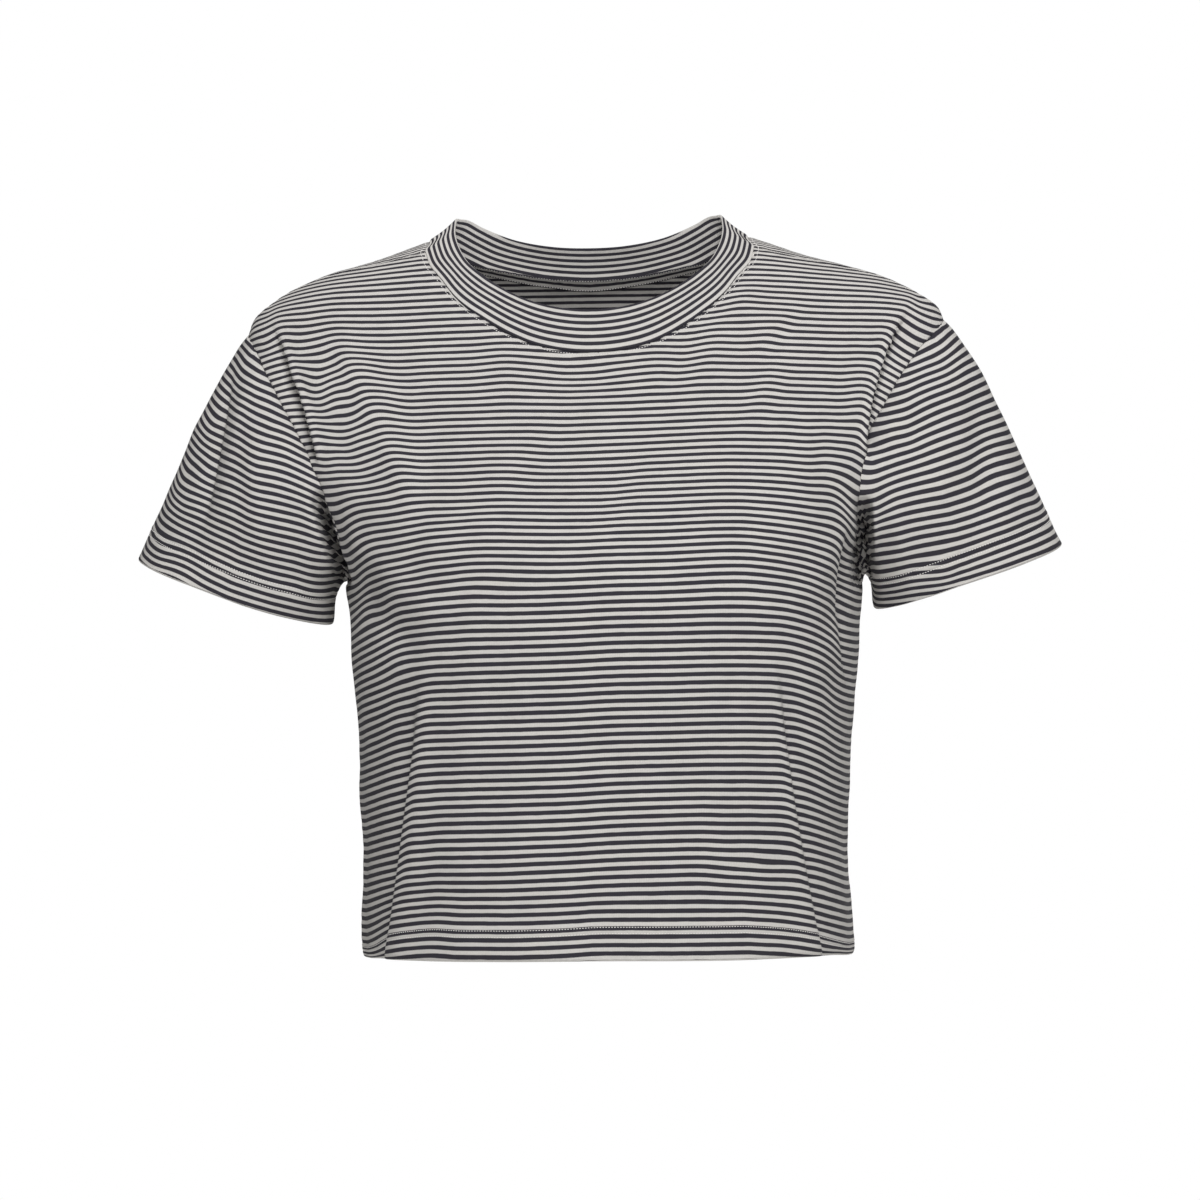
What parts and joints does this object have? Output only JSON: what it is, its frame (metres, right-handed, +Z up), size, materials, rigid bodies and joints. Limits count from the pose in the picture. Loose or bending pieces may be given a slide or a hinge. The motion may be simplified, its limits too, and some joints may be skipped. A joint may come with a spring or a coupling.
{
  "type": "crop top",
  "caption": "Cropped boxy T-shirt with short set-in sleeves and a doubled crew neckband, filled out as if worn, open at neck, hem and cuffs",
  "frame": {"origin": "on the centre line in the plane of the shoulder ridges, level with the neck end of the shoulders, where the wearer carries it", "axes": "+X to the wearer's left, along the width from sleeve to sleeve; +Y from front to back; +Z up"},
  "size_m": [0.5606, 0.2364, 0.4491],
  "materials": {
    "jersey": "matt striped cotton jersey",
    "neckband": "matt striped cotton jersey, doubled",
    "neck_tape": "matt striped cotton jersey strip"
  },
  "bodies": {
    "root": {"front": "jersey", "back": "jersey", "sleeve_left": "jersey", "sleeve_right": "jersey", "neckband": "neckband", "neck_tape": "neck_tape"}
  },
  "joints": []
}
